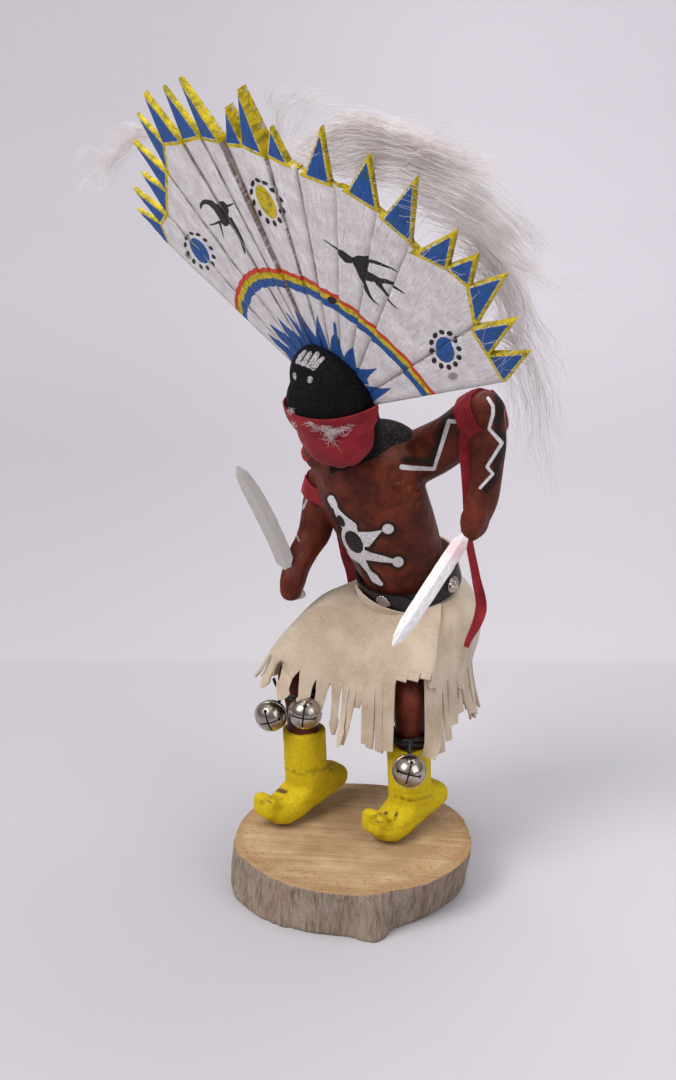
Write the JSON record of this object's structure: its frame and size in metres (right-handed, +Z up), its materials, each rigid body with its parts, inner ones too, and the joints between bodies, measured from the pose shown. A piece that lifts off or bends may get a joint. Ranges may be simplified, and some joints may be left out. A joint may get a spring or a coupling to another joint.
{
  "type": "kachina doll",
  "caption": "Carved and painted dancing figure on a log slice, with a broad painted slat fan edged in fur behind the masked head, a fringed kilt, bells and two wooden swords.",
  "frame": {"origin": "centre of the base's flat underside, on the surface it stands on", "axes": "+Z up, -Y the way the figure faces, +X to the figure's left hand"},
  "size_m": [0.2718, 0.1603, 0.381],
  "materials": {
    "log_slice": "raw sawn top with grey bark on the rim",
    "carved_wood": "painted dark red-brown, glossy, with black mask and yellow moccasins",
    "sword_paint": "carved wood under thin white paint",
    "fan_paint": "thin white paint with painted ornaments in blue, yellow, red and black",
    "fur": "long soft white fur",
    "suede": "cream suede with a cut fringe",
    "belt_leather": "smooth black",
    "strap_leather": "thin black thong",
    "nickel": "polished nickel",
    "red_cloth": "plain red cloth",
    "down": "loose white down",
    "ribbon": "red ribbon"
  },
  "bodies": {
    "root": {"base": "log_slice", "figure": "carved_wood", "sword_right": "sword_paint", "sword_left": "sword_paint", "fan_slat_01": "fan_paint", "fan_slat_02": "fan_paint", "fan_slat_03": "fan_paint", "fan_slat_04": "fan_paint", "fan_slat_05": "fan_paint", "fan_slat_06": "fan_paint", "fan_slat_07": "fan_paint", "fan_slat_08": "fan_paint", "fan_slat_09": "fan_paint", "fan_slat_10": "fan_paint", "fan_slat_11": "fan_paint", "fan_slat_12": "fan_paint", "fur_trim": "fur", "kilt": "suede", "belt": "belt_leather", "concho_1": "nickel", "concho_2": "nickel", "bandana": "red_cloth", "down_tuft": "down", "bell_strap_right": "strap_leather", "bell_strap_left": "strap_leather", "bell_1": "nickel", "bell_2": "nickel", "bell_3": "nickel", "ribbon_left": "ribbon", "ribbon_right": "ribbon"}
  },
  "joints": []
}
